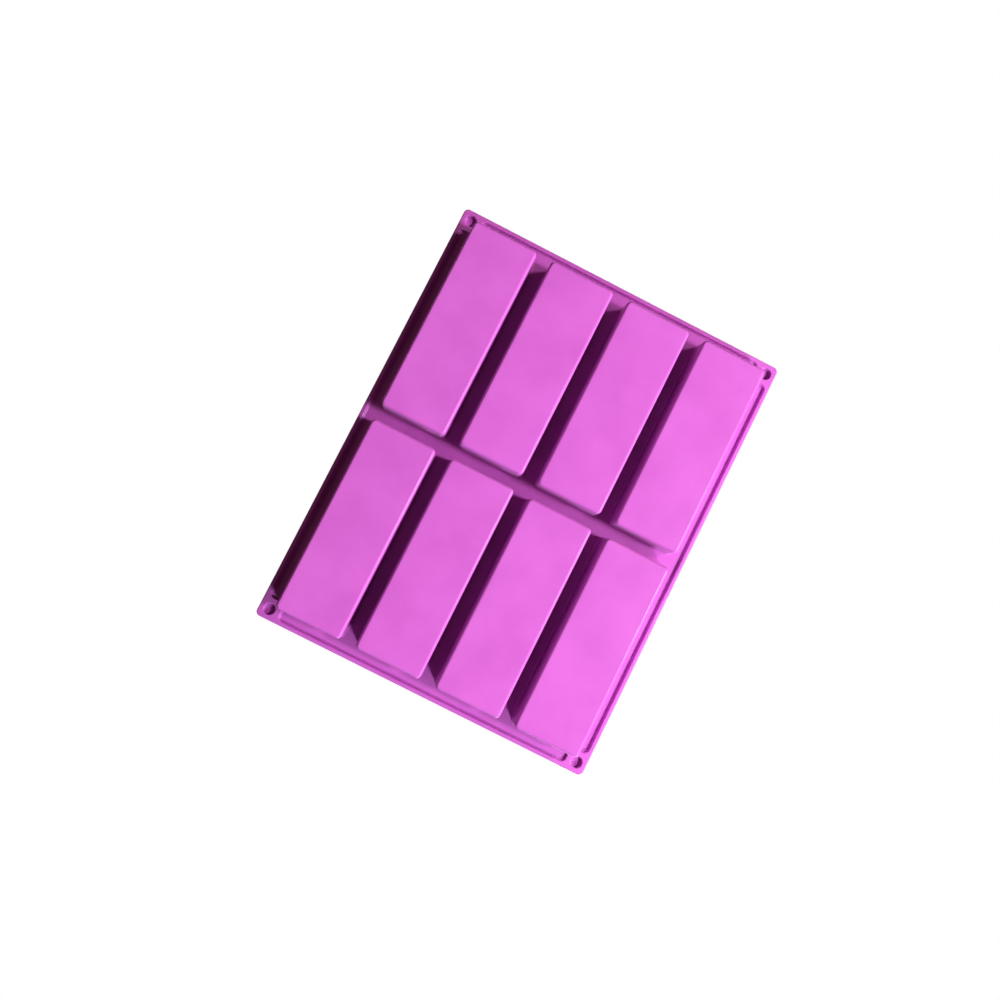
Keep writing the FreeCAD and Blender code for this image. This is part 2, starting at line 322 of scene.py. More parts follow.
def cup_tree() -> Tree:
    """Tree that lofts a cup from its plan and its section, and sets it out on a grid.

    Returns:
        The tree. Plan and Section are objects whose meshes carry the numbers of each point.
    """
    tree = Tree("cups_from_plan_and_section")
    for name, kind in (
        ("Plan", Kind.OBJECT), ("Section", Kind.OBJECT), ("Plan Points", Kind.COUNT),
        ("Section Points", Kind.COUNT), ("Cups X", Kind.COUNT), ("Cups Y", Kind.COUNT),
        ("Spread X", Kind.LENGTH), ("Spread Y", Kind.LENGTH), ("Half Length", Kind.LENGTH),
        ("Half Width", Kind.LENGTH), ("Pad Starts", Kind.LENGTH), ("Pad Ends", Kind.LENGTH),
        ("Pad Drop", Kind.LENGTH), ("Floor", Kind.LENGTH), ("Finish", Kind.MATERIAL),
    ):
        tree.asks(name, kind)
    plan = tree.node("ObjectInfo", Object=tree.given("Plan")).outputs["Geometry"]
    section = tree.node("ObjectInfo", Object=tree.given("Section")).outputs["Geometry"]

    steps = [tree.math("SUBTRACT", tree.given(name), 1.0) for name in ("Plan Points", "Section Points")]
    sheet = tree.node("MeshGrid", Size_X=steps[0], Size_Y=steps[1],
                      Vertices_X=tree.given("Plan Points"), Vertices_Y=tree.given("Section Points"))
    place = tree.split(tree.node("InputPosition").outputs[0])
    numbers = [tree.math("ROUND", tree.math("ADD", place[axis], tree.math("MULTIPLY", steps[axis], 0.5)))
               for axis in (0, 1)]

    def sample(source: bpy.types.NodeSocket, name: str, data_type: str,
               index: int) -> bpy.types.NodeSocket:
        """Value that the plan or the section keeps for this point.

        Args:
            source: geometry of the plan or the section.
            name: the attribute to read.
            data_type: its type.
            index: 0 for the plan's count of this point, 1 for the section's.

        Returns:
            The socket with the value.
        """
        node = tree.node("SampleIndex", {"data_type": data_type, "domain": "POINT"},
                         Geometry=source, Value=tree.attribute(name, data_type), Index=numbers[index])
        return node.outputs[0]

    inside = sample(section, "inside", "FLOAT", 1)
    foot = tree.node("ShaderNodeMix", {"data_type": "VECTOR"})
    tree.feed(foot, "Factor", inside)
    tree.feed(foot, "A", sample(plan, "outer_line", "FLOAT_VECTOR", 0))
    tree.feed(foot, "B", sample(plan, "inner_line", "FLOAT_VECTOR", 0))
    foot_place = next(s for s in foot.outputs if s.enabled)
    reach = tree.node("ShaderNodeVectorMath", {"operation": "SCALE"},
                      Vector=sample(plan, "outward", "FLOAT_VECTOR", 0),
                      Scale=sample(section, "reach", "FLOAT", 1))
    rise = tree.node("ShaderNodeCombineXYZ", Z=sample(section, "height", "FLOAT", 1)).outputs[0]
    lean = tree.node("StoreNamedAttribute", {"data_type": "FLOAT_VECTOR", "domain": "POINT"},
                     Geometry=sheet.outputs["Mesh"], Name="lean", Value=reach.outputs[0])
    root = tree.node("StoreNamedAttribute", {"data_type": "FLOAT", "domain": "POINT"},
                     Geometry=lean.outputs[0], Name="root", Value=sample(section, "root", "FLOAT", 1))
    spot = foot_place
    for shift in (reach.outputs[0], rise):
        moved = tree.node("ShaderNodeVectorMath", {"operation": "ADD"})
        for slot, value in enumerate((spot, shift)):
            tree.feed(moved, "Vector", value, slot)
        spot = moved.outputs[0]
    lofted = tree.node("SetPosition", Geometry=root.outputs[0], Position=spot)
    tube = tree.node("MergeByDistance", Geometry=lofted.outputs[0], Distance=WELD)

    open_rim = tree.math("LESS_THAN", tree.node("InputMeshEdgeNeighbors").outputs[0], LONE_FACE_LIMIT)
    half_floor = tree.math("MULTIPLY", tree.given("Floor"), 0.5)
    parts = [tube.outputs[0]]
    for side, height in (("LESS_THAN", 0.0), ("GREATER_THAN", tree.given("Floor"))):
        ring = tree.node("MeshToCurve", Mesh=tube.outputs[0],
                         Selection=tree.math("MULTIPLY", open_rim, tree.math(side, place[2], half_floor)))
        face = tree.node("FillCurve", {"mode": "NGONS"}, Curve=ring.outputs[0])
        lift = tree.node("ShaderNodeCombineXYZ", Z=height).outputs[0]
        parts.append(tree.node("SetPosition", Geometry=face.outputs[0], Offset=lift).outputs[0])
    cup = tree.node("JoinGeometry", Geometry=parts)
    closed = tree.node("MergeByDistance", Geometry=cup.outputs[0], Distance=WELD)

    grid = tree.node("MeshGrid", Size_X=tree.given("Spread X"), Size_Y=tree.given("Spread Y"),
                     Vertices_X=tree.given("Cups X"), Vertices_Y=tree.given("Cups Y"))
    cups = tree.node("InstanceOnPoints", Points=grid.outputs["Mesh"], Instance=closed.outputs[0])
    real = tree.node("RealizeInstances", Geometry=cups.outputs[0])

    lean_x, lean_y, _ = tree.split(tree.attribute("lean", "FLOAT_VECTOR"))
    shares = []
    for here, shift, half in ((place[0], lean_x, "Half Length"), (place[1], lean_y, "Half Width")):
        distance = tree.math("ABSOLUTE", tree.math("SUBTRACT", here, shift))
        inset = tree.math("SUBTRACT", tree.given(half), distance)
        share = tree.node("ShaderNodeMapRange", {"interpolation_type": "SMOOTHSTEP"}, Value=inset,
                          From_Min=tree.given("Pad Starts"), From_Max=tree.given("Pad Ends"),
                          To_Min=1.0, To_Max=0.0)
        shares.append(share.outputs[0])
    drop = tree.math("MULTIPLY", tree.math("MULTIPLY", shares[0], shares[1]), tree.given("Pad Drop"))
    drop = tree.math("MULTIPLY", drop, tree.attribute("root", "FLOAT"))
    offset = tree.node("ShaderNodeCombineXYZ", Z=tree.math("MULTIPLY", drop, -1.0)).outputs[0]
    seated = tree.node("SetPosition", Geometry=real.outputs[0], Offset=offset)
    tree.ends_with(seated.outputs[0])
    return tree


def turned(tree: Tree, geometry: bpy.types.NodeSocket) -> bpy.types.NodeSocket:
    """Copies of a geometry, turned about the mould's middle.

    Args:
        tree: tree that asks for Copies.
        geometry: what is copied.

    Returns:
        The copies, as instances.
    """
    spots = tree.node("MeshLine", Count=tree.given("Copies"), Offset=(0.0, 0.0, 0.0))
    step = tree.math("DIVIDE", math.tau, tree.given("Copies"))
    angle = tree.math("MULTIPLY", tree.node("InputIndex").outputs[0], step)
    copies = tree.node("InstanceOnPoints", Points=spots.outputs[0], Instance=geometry,
                       Rotation=tree.node("ShaderNodeCombineXYZ", Z=angle).outputs[0])
    return copies.outputs[0]


def run_out_tree() -> Tree:
    """Tree that runs flat faces out along a vector into a solid and copies it round the mould.

    Returns:
        The tree.
    """
    tree = Tree("sections_run_out")
    for name, kind in (("Run", Kind.VECTOR), ("Copies", Kind.COUNT), ("Finish", Kind.MATERIAL)):
        tree.asks(name, kind)
    start = tree.given("Geometry")
    moved = tree.node("ExtrudeMesh", {"mode": "FACES"}, Mesh=start, Offset=tree.given("Run"),
                      Offset_Scale=1.0, Individual=False)
    back = tree.node("FlipFaces", Mesh=start)
    both = tree.node("JoinGeometry", Geometry=[moved.outputs["Mesh"], back.outputs[0]])
    solid = tree.node("MergeByDistance", Geometry=both.outputs[0], Distance=WELD)
    tree.ends_with(turned(tree, solid.outputs[0]))
    return tree


def turned_tree() -> Tree:
    """Tree that copies a finished solid round the mould.

    Returns:
        The tree.
    """
    tree = Tree("solids_turned")
    for name, kind in (("Copies", Kind.COUNT), ("Finish", Kind.MATERIAL)):
        tree.asks(name, kind)
    tree.ends_with(turned(tree, tree.given("Geometry")))
    return tree


# ---------------------------------------------------------------- finishes


def feed(tree: bpy.types.NodeTree, node: bpy.types.Node, inputs: dict[int | str, Any]) -> None:
    """Join sockets, or plain values, to the inputs of a shader node.

    Args:
        tree: tree that the node is in.
        node: node that takes them.
        inputs: a socket or a value for each input, by the input's name or number.
    """
    for key, value in inputs.items():
        if isinstance(value, bpy.types.NodeSocket):
            tree.links.new(value, node.inputs[key])
        else:
            node.inputs[key].default_value = value


def shade(tree: bpy.types.NodeTree, kind: str, inputs: dict[int | str, Any] | None = None,
          **settings: Any) -> bpy.types.Node:
    """Add a shader node.

    Args:
        tree: node tree of a material or of the surroundings.
        kind: the node's type, without the leading "ShaderNode".
        inputs: what goes into its inputs.
        settings: its properties.

    Returns:
        The new node.
    """
    node = tree.nodes.new("ShaderNode" + kind)
    for key, value in settings.items():
        setattr(node, key, value)
    feed(tree, node, inputs or {})
    return node


def mixed(tree: bpy.types.NodeTree, share: bpy.types.NodeSocket, first: bpy.types.Node,
          second: bpy.types.Node) -> bpy.types.Node:
    """Mix of two shaders, by the share of the second."""
    return shade(tree, "MixShader", {0: share, 1: first.outputs[0], 2: second.outputs[0]})


@dataclass(frozen=True)
class Noise:
    """Size and make-up of a noise pattern."""

    scale: float
    detail: float
    rough: float

    def on(self, tree: bpy.types.NodeTree, coords: bpy.types.NodeSocket) -> bpy.types.NodeSocket:
        """Value of the noise at the given coordinates."""
        return shade(tree, "TexNoise", {"Scale": self.scale, "Detail": self.detail,
                                        "Roughness": self.rough, "Vector": coords}).outputs[0]


@dataclass(frozen=True)
class SiliconeFinish:
    """Moulded silicone: a dull body under a thin gloss, with soft mottling, fine grain and dots of painted
    shade for small pits.
    """

    name: str = "moulded_silicone"
    deep: Colour = (0.455, 0.086, 0.432)
    light: Colour = (0.500, 0.102, 0.475)
    clouds: Noise = Noise(26.0, 5.0, 0.55)
    cloud_ramp: tuple[float, float] = (0.36, 0.64)
    # painted shade: a darker tone in dots that stand for small pits, which are not modelled
    pit_shade: Colour = (0.300, 0.040, 0.280)
    pit_scale: float = 9.0
    pit_radius: float = 0.75 * MM
    pit_core: float = 0.3
    roughness: float = 0.46
    roughness_spread: float = 0.05
    dulling: Noise = Noise(55.0, 3.0, 0.5)
    ripple: Noise = Noise(55.0, 2.0, 0.5)
    ripple_depth: float = 0.10 * MM
    grain: Noise = Noise(2600.0, 2.0, 0.6)
    grain_depth: float = 0.0035 * MM
    refraction: float = 1.45
    coat: float = 0.50
    coat_roughness: float = 0.26
    sheen: float = 0.10
    sheen_roughness: float = 0.4

    def material(self) -> bpy.types.Material:
        """Build the material.

        Returns:
            A node material that reads Object coordinates only.
        """
        material = bpy.data.materials.new(self.name)
        material.use_nodes = True
        tree = material.node_tree
        coords = shade(tree, "TexCoord").outputs["Object"]
        dull = shade(tree, "MapRange", {
            "Value": self.dulling.on(tree, coords), "To Min": self.roughness - self.roughness_spread,
            "To Max": self.roughness + self.roughness_spread})
        feed(tree, tree.nodes["Principled BSDF"], {
            "Base Color": self.colour(tree, coords), "Normal": self.relief(tree, coords),
            "Roughness": dull.outputs[0], "IOR": self.refraction,
            "Coat Weight": self.coat, "Coat Roughness": self.coat_roughness,
            "Sheen Weight": self.sheen, "Sheen Roughness": self.sheen_roughness})
        return material

    def colour(self, tree: bpy.types.NodeTree, coords: bpy.types.NodeSocket) -> bpy.types.NodeSocket:
        """Two tones in soft clouds, with darker dots of painted shade for small pits, scattered in plan.

        Args:
            tree: the material's tree.
            coords: the object's own coordinates.

        Returns:
            The socket with the colour.
        """
        clouds = shade(tree, "ValToRGB", {0: self.clouds.on(tree, coords)})
        stops = clouds.color_ramp.elements
        for number, (place, tone) in enumerate(zip(self.cloud_ramp, (self.deep, self.light))):
            stops[number].position = place
            stops[number].color = (*tone, 1.0)
        flat = shade(tree, "VectorMath", {0: coords, 1: (1.0, 1.0, 0.0)}, operation="MULTIPLY")
        spots = shade(tree, "TexVoronoi", {"Scale": self.pit_scale, "Vector": flat.outputs[0]})
        pit_shade_mask = shade(tree, "MapRange", {
            "Value": spots.outputs["Distance"],
            "From Min": self.pit_core * self.pit_radius * self.pit_scale,
            "From Max": self.pit_radius * self.pit_scale})
        # painted shade of the small pits, mixed into the clouds
        tint = shade(tree, "Mix", {
            "Factor": pit_shade_mask.outputs[0], "A": (*self.pit_shade, 1.0), "B": clouds.outputs[0]}, data_type="RGBA")
        return tint.outputs["Result"]

    def relief(self, tree: bpy.types.NodeTree, coords: bpy.types.NodeSocket) -> bpy.types.NodeSocket:
        """Fine grain on a slow ripple.

        Args:
            tree: the material's tree.
            coords: the object's own coordinates.

        Returns:
            The socket with the normal.
        """
        ripple = shade(tree, "Bump", {
            "Distance": self.ripple_depth, "Height": self.ripple.on(tree, coords)})
        grain = shade(tree, "Bump", {"Distance": self.grain_depth, "Height": self.grain.on(tree, coords),
                                     "Normal": ripple.outputs[0]})
        return grain.outputs[0]


# ---------------------------------------------------------------- sizes that the pieces share


@dataclass(frozen=True)
class Moulding:
    """Levels and widths that several pieces share. Places come from the frame's own boxes."""

    half_length: float
    half_width: float
    top: float
    web_under: float
    rim_under: float
    rail_width: float
    pad_arm: float
    cup_spots: dict[str, Point]
    draft: float = math.radians(0.75)
    pad_side: float = 14.2 * MM
    channel_end: float = 3.2 * MM
    outer_corner: float = 3.2 * MM
    outer_edge: float = 0.8 * MM
    inner_edge: float = 0.9 * MM
    lip_root: float = 1.0 * MM
    edge_steps: int = 6

    @classmethod
    def from_frame(cls, nodes: Iterable[str]) -> "Moulding":
        """Read the mould's places from the CAD frame.

        Args:
            nodes: names of the CAD nodes.

        Returns:
            The shared sizes.
        """
        low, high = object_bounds()
        web_low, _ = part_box("deck_web")
        pad_low, pad_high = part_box("corner_boss_front_left")
        rail_low, rail_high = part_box("rim_rail_front")
        cups = {}
        for name in sorted(n for n in nodes if n.startswith("cavity_cup_")):
            cup_low, cup_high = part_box(name)
            cups[name] = ((cup_low.x + cup_high.x) / 2, (cup_low.y + cup_high.y) / 2)
        return cls(high.x, high.y, high.z, web_low.z, pad_low.z, rail_high.y - rail_low.y,
                   pad_high.x - pad_low.x, cups)

    def outer_section(self) -> Line:
        """Rounded outer face of the lip.

        Returns:
            Inset and height, from its underside to its top.
        """
        edge = self.outer_edge
        low = arc((edge, self.rim_under + edge), edge, 270, 180, self.edge_steps)
        high = arc((edge, self.top - edge), edge, 180, 90, self.edge_steps)
        return low + high

    def inner_section(self) -> Line:
        """Inner face of the lip, which runs into the web with a fillet.

        Returns:
            Reach into the channel and height, from its underside to its top.
        """
        edge, root = self.inner_edge, self.lip_root
        low = arc((-edge, self.rim_under + edge), edge, -90, 0, self.edge_steps)
        foot = arc((root, self.web_under - root), root, 180, 90, self.edge_steps)
        return low + foot + [(root, self.top)]


# ---------------------------------------------------------------- pieces


@dataclass
class Piece:
    """A finished piece and the CAD node that it stands for."""

    name: str
    node: str
    obj: bpy.types.Object

    def settle(self) -> None:
        """Ride on the body, take the node's place and report."""
        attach(self.obj, BODY)
        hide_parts(self.node)
        log.info("%s stands for %s, %d faces", self.name, self.node, len(self.obj.data.polygons))


def share_out(source: bpy.types.Object, names: dict[str, str]) -> list[Piece]:
    """Split an object of several loose solids into one piece for each CAD node that holds one.

    Args:
        source: object whose solids each lie in the box of one node. It is removed.
        names: name of each piece by its node.

    Returns:
        The pieces, sealed and smoothly shaded.
    """
    pieces = []
    for node, name in names.items():
        low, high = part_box(node)
        middle = (low + high) / 2
        reach = (high - low) / 2 + Vector((BOX_SLACK,) * 3)
        work = bmesh.new()
        work.from_mesh(source.data)
        outside = [v for v in work.verts
                   if any(abs(v.co[axis] - middle[axis]) > reach[axis] for axis in range(3))]
        bmesh.ops.delete(work, geom=outside, context="VERTS")
        mesh = bpy.data.meshes.new(name)
        work.to_mesh(mesh)
        work.free()
        for material in source.data.materials:
            mesh.materials.append(material)
        for attribute in [a.name for a in mesh.attributes if a.name in ("lean", "root")]:
            mesh.attributes.remove(mesh.attributes[attribute])
        pieces.append(Piece(name, node, soften(link(bpy.data.objects.new(name, sealed(mesh))))))
    bpy.data.objects.remove(source)
    return pieces


@dataclass
class CavityCups:
    """The eight bar cups: drafted walls, rounded floors, and a fillet that runs into the web."""

    moulding: Moulding
    length: float = 131.4 * MM
    width: float = 44.3 * MM
    corner: float = 3.0 * MM
    wall: float = 2.0 * MM
    floor: float = 2.0 * MM
    cavity_corner: float = 1.8 * MM
    floor_edge: float = 1.8 * MM
    cavity_edge: float = 1.6 * MM
    mouth_edge: float = 0.8 * MM
    root: float = 1.2 * MM
    floor_ring: float = 0.7 * MM
    pad_ramp: tuple[float, float] = (-0.2 * MM, 1.1 * MM)
    steps: int = 10
    edge_steps: int = 8
    eases: tuple[float, ...] = (0.35 * MM, 0.7 * MM, 1.1 * MM, 1.6 * MM)

    def plan(self, length: float, width: float, corner: float) -> tuple[Line, Line]:
        """Rounded rectangle about the origin, with extra points just past each corner.

        Args:
            length: size along X.
            width: size along Y.
            corner: radius of its corners.

        Returns:
            Its points and the direction outwards at each, the first one repeated at the end.
        """
        points: Line = []
        outward: Line = []
        for turn, (side_x, side_y) in enumerate(((1, 1), (-1, 1), (-1, -1), (1, -1))):
            centre = (side_x * (length / 2 - corner), side_y * (width / 2 - corner))
            start = 90 * turn
            directions = arc((0.0, 0.0), 1.0, start, start + 90, self.steps)
            (first_x, first_y), (last_x, last_y) = directions[0], directions[-1]
            rows = [(directions[0], (e * first_y, -e * first_x)) for e in reversed(self.eases)]
            rows += [(direction, (0.0, 0.0)) for direction in directions]
            rows += [(directions[-1], (-e * last_y, e * last_x)) for e in self.eases]
            for (x, y), (shift_x, shift_y) in rows:
                points.append((centre[0] + corner * x + shift_x, centre[1] + corner * y + shift_y))
                outward.append((x, y))
        return points + points[:1], outward + outward[:1]

    @property
    def collar(self) -> float:
        """How far a cup's fillet reaches past its outline at the floor, where it meets the web."""
        slope = math.tan(self.moulding.draft)
        return (self.moulding.web_under - self.root) * slope + self.root / math.cos(self.moulding.draft)

    def section(self) -> list[tuple[float, float, float, float]]:
        """Section through a wall, from under the floor, up, over the mouth and down to the cavity's floor.

        Returns:
            Reach outwards, height, 1 on the cavity's side, and 1 on the fillet that meets web or pad.
        """
        mould, steps = self.moulding, self.edge_steps
        slope, secant = math.tan(mould.draft), 1 / math.cos(mould.draft)
        lean = math.degrees(mould.draft)

        def rows(line: Line, inside: int, root: int) -> list[tuple[float, float, float, float]]:
            """Points of a line with their two marks."""
            return [(reach, height, float(inside), float(root)) for reach, height in line]

        foot = (self.floor_edge * (slope - secant), self.floor_edge)
        low = arc(foot, self.floor_edge, -90, -lean, steps)
        fillet_height = mould.web_under - self.root
        fillet = arc((self.collar, fillet_height), self.root, 180 - lean, 90, steps)
        mouth_height = mould.top - self.mouth_edge
        mouth = arc((mouth_height * slope + self.mouth_edge * secant, mouth_height),
                    self.mouth_edge, 90, 180 - lean, steps)
        bed_height = self.floor + self.cavity_edge
        bed = arc((bed_height * slope - self.cavity_edge * secant, bed_height),
                  self.cavity_edge, -lean, -90, steps)
        inset = -self.floor_edge - self.floor_ring
        return (rows([(inset, 0.0)] + low, 0, 0) + rows(fillet, 0, 1)
                + rows([(self.collar, mould.top)], 0, 0) + rows(mouth + bed, 1, 0))

    def number_object(self, name: str, columns: dict[str, Sequence[Any]]) -> bpy.types.Object:
        """Helper object whose points carry numbers for the tree.

        Args:
            name: its name.
            columns: list of numbers or of plane points by attribute name.

        Returns:
            The object. It is removed once the cups are made.
        """
        count = len(next(iter(columns.values())))
        mesh = plain_mesh(name, [(0.0, 0.0, 0.0)] * count, [])
        for key, values in columns.items():
            flat = isinstance(values[0], tuple)
            attribute = mesh.attributes.new(key, "FLOAT_VECTOR" if flat else "FLOAT", "POINT")
            data = [(*v, 0.0) for v in values] if flat else values
            attribute.data.foreach_set("vector" if flat else "value", np.ravel(data).astype(np.float32))
        return link(bpy.data.objects.new(name, mesh))

    def build(self, finish: bpy.types.Material) -> list[Piece]:
        """Make the cups.

        Args:
            finish: their material.

        Returns:
            One piece for each cup.
        """
        mould = self.moulding
        outer, outward = self.plan(self.length, self.width, self.corner)
        inner, _ = self.plan(self.length - 2 * self.wall, self.width - 2 * self.wall, self.cavity_corner)
        section = self.section()
        plan = self.number_object("cup_plan", {
            "outer_line": outer, "inner_line": inner, "outward": outward})
        profile = self.number_object("cup_section", {
            "reach": [row[0] for row in section], "height": [row[1] for row in section],
            "inside": [row[2] for row in section], "root": [row[3] for row in section]})
        spots = list(mould.cup_spots.values())
        columns = sorted({round(x, PLACE_DIGITS) for x, _ in spots})
        rows = sorted({round(y, PLACE_DIGITS) for _, y in spots})
        cups = cup_tree().run("cups_together", plain_mesh("cup_seed", [(0, 0, 0)], []), {
            "Plan": plan, "Section": profile, "Plan Points": len(outer), "Section Points": len(section),
            "Cups X": len(columns), "Cups Y": len(rows),
            "Spread X": columns[-1] - columns[0], "Spread Y": rows[-1] - rows[0],
            "Half Length": mould.half_length, "Half Width": mould.half_width,
            "Pad Starts": mould.pad_side + self.pad_ramp[0], "Pad Ends": mould.pad_side + self.pad_ramp[1],
            "Pad Drop": mould.web_under - mould.rim_under, "Floor": self.floor, "Finish": finish})
        for helper in (plan, profile):
            bpy.data.objects.remove(helper)
        return share_out(cups, {node: node.replace("cavity_cup", "cup_shell") for node in mould.cup_spots})

    def collar_line(self, node: str) -> np.ndarray:
        """Line where a cup's collar meets the web, in plan, the first point repeated at the end."""
        points, outward = self.plan(self.length, self.width, self.corner)
        return np.array(self.moulding.cup_spots[node]) + np.array(points) + self.collar * np.array(outward)


@dataclass
class CornerPads:
    """The four corner pads, where the channels end round, each with its blind recess."""

    moulding: Moulding
    cups: CavityCups
    recess_inset: float = 6.8 * MM
    recess_radius: float = 3.75 * MM
    recess_depth: float = 3.0 * MM
    recess_edge: float = 0.5 * MM
    recess_foot: float = 0.7 * MM
    steps: int = 10
    recess_steps: int = 48

    def collar_corner(self) -> np.ndarray:
        """Collar of the front left cup near its outer corner.

        Returns:
            Its points, measured from the mould's outer sides.
        """
        mould = self.moulding
        line = self.cups.collar_line("cavity_cup_left_1") + np.array((mould.half_length, mould.half_width))
        near = line[(line[:, 0] < mould.pad_arm) & (line[:, 1] < mould.pad_arm)]
        return near[np.argsort(near[:, 0] - near[:, 1])]

    def channel_end(self, reach: float, collar: np.ndarray, other_way: bool) -> Line:
        """Line round a channel's end, from the lip to the cup's collar.

        Args:
            reach: how far the line stands out into the channel.
            collar: collar line near the corner.
            other_way: the channel along the left side and not the front one.

        Returns:
            The points, from the seam with the rail inwards.
        """
        mould = self.moulding
        turn = mould.channel_end
        centre = (mould.pad_side + turn, mould.rail_width + turn)
        line = [(mould.pad_arm, mould.rail_width + reach)]
        line += arc(centre, turn - reach, 270, 180, self.steps)
        side = mould.pad_side + reach
        if other_way:
            order = np.argsort(collar[:, 1])
            line.append((side, float(np.interp(side, collar[order, 1], collar[order, 0]))))
            return [(v, u) for u, v in line]
        order = np.argsort(collar[:, 0])
        line.append((side, float(np.interp(side, collar[order, 0], collar[order, 1]))))
        return line

    def solid(self, mirrored: bool) -> bpy.types.Mesh:
        """Mesh of the front left pad, or of the front right one.

        Args:
            mirrored: the front right pad.

        Returns:
            A closed mesh in its place.
        """
        mould = self.moulding
        points: list[tuple[float, float, float]] = []
        faces: list[tuple[int, ...]] = []

        def face(corners: Sequence[Sequence[float]]) -> None:
            """One face from its corners."""
            faces.append(tuple(range(len(points), len(points) + len(corners))))
            points.extend(tuple(c) for c in corners)

        def strip(lines: Sequence[Sequence[Sequence[float]]]) -> None:
            """Quads between neighbouring lines.

            Args:
                lines: lines that all have the same number of points.
            """
            for first, second in zip(lines, lines[1:]):
                for k in range(len(first) - 1):
                    face((first[k], first[k + 1], second[k + 1], second[k]))

        def flat(loops: Sequence[Sequence[Sequence[float]]]) -> None:
            """Flat fill of an outline.

            Args:
                loops: the outline, then its holes.
            """
            corners = [Vector(p) for loop in loops for p in loop]
            for triangle in tessellate_polygon([[Vector(p) for p in loop] for loop in loops]):
                face([corners[k] for k in triangle])

        outer_section, inner_section = mould.outer_section(), mould.inner_section()
        collar = self.collar_corner()
        outer = []
        for inset, height in outer_section:
            corner = mould.outer_corner
            line = [(mould.pad_arm, inset)]
            line += arc((corner, corner), corner - inset, 270, 180, self.steps)
            line.append((inset, mould.pad_arm))
            outer.append([(u, v, height) for u, v in line])
        front, side = ([[(u, v, height) for u, v in self.channel_end(reach, collar, other_way)]
                        for reach, height in inner_section] for other_way in (False, True))
        start, end = front[0][-1], side[0][-1]
        seat = [(u, v) for u, v in collar if u < start[0] and v < end[1]]
        seat = sorted(seat, key=lambda p: p[1] - p[0])
        seat = [start[:2], *seat, end[:2]]
        seat_low = [(u, v, mould.rim_under) for u, v in seat]
        seat_high = [(u, v, mould.top) for u, v in seat]
        strip(outer)
        strip(front)
        strip(side)
        strip([seat_low, seat_high])
        for lines in (front, side):
            outer_end = 0 if lines is front else -1
            face([line[0] for line in reversed(lines)] + [line[outer_end] for line in outer])
            seam = [line[-1] for line in lines]
            face(seam + [(seam[0][0], seam[0][1], mould.top)])

        centre = (self.recess_inset, self.recess_inset)
        recess_top = mould.rim_under + self.recess_depth
        radius, edge, foot = self.recess_radius, self.recess_edge, self.recess_foot
        wall = arc((radius + edge, mould.rim_under + edge), edge, 270, 180, mould.edge_steps)
        wall += arc((radius - foot, recess_top - foot), foot, 0, 90, mould.edge_steps)
        rings = [[(u, v, height) for u, v in arc(centre, reach, 0, 360, self.recess_steps)]
                 for reach, height in wall]
        strip(rings)
        face(rings[-1][:-1])
        flat([[*outer[0][::-1], *front[0], *seat_low[1:-1], *side[0][::-1]], rings[0][:-1]])
        flat([[*outer[-1][::-1], *front[-1], *seat_high, *side[-1][::-1]]])

        flip = -1.0 if mirrored else 1.0
        placed = [(flip * (u - mould.half_length), v - mould.half_width, z) for u, v, z in points]
        return sealed(plain_mesh("pad_solid", placed, faces))

    def build(self, finish: bpy.types.Material) -> list[Piece]:
        """Make the pads.

        Args:
            finish: their material.

        Returns:
            One piece for each corner.
        """
        tree = turned_tree()
        pieces = []
        for mirrored, ends in ((False, ("front_left", "back_right")), (True, ("front_right", "back_left"))):
            pair = tree.run("pads_together", self.solid(mirrored), {"Copies": 2, "Finish": finish})
            pieces += share_out(pair, {f"corner_boss_{end}": f"corner_pad_{end}" for end in ends})
        return pieces


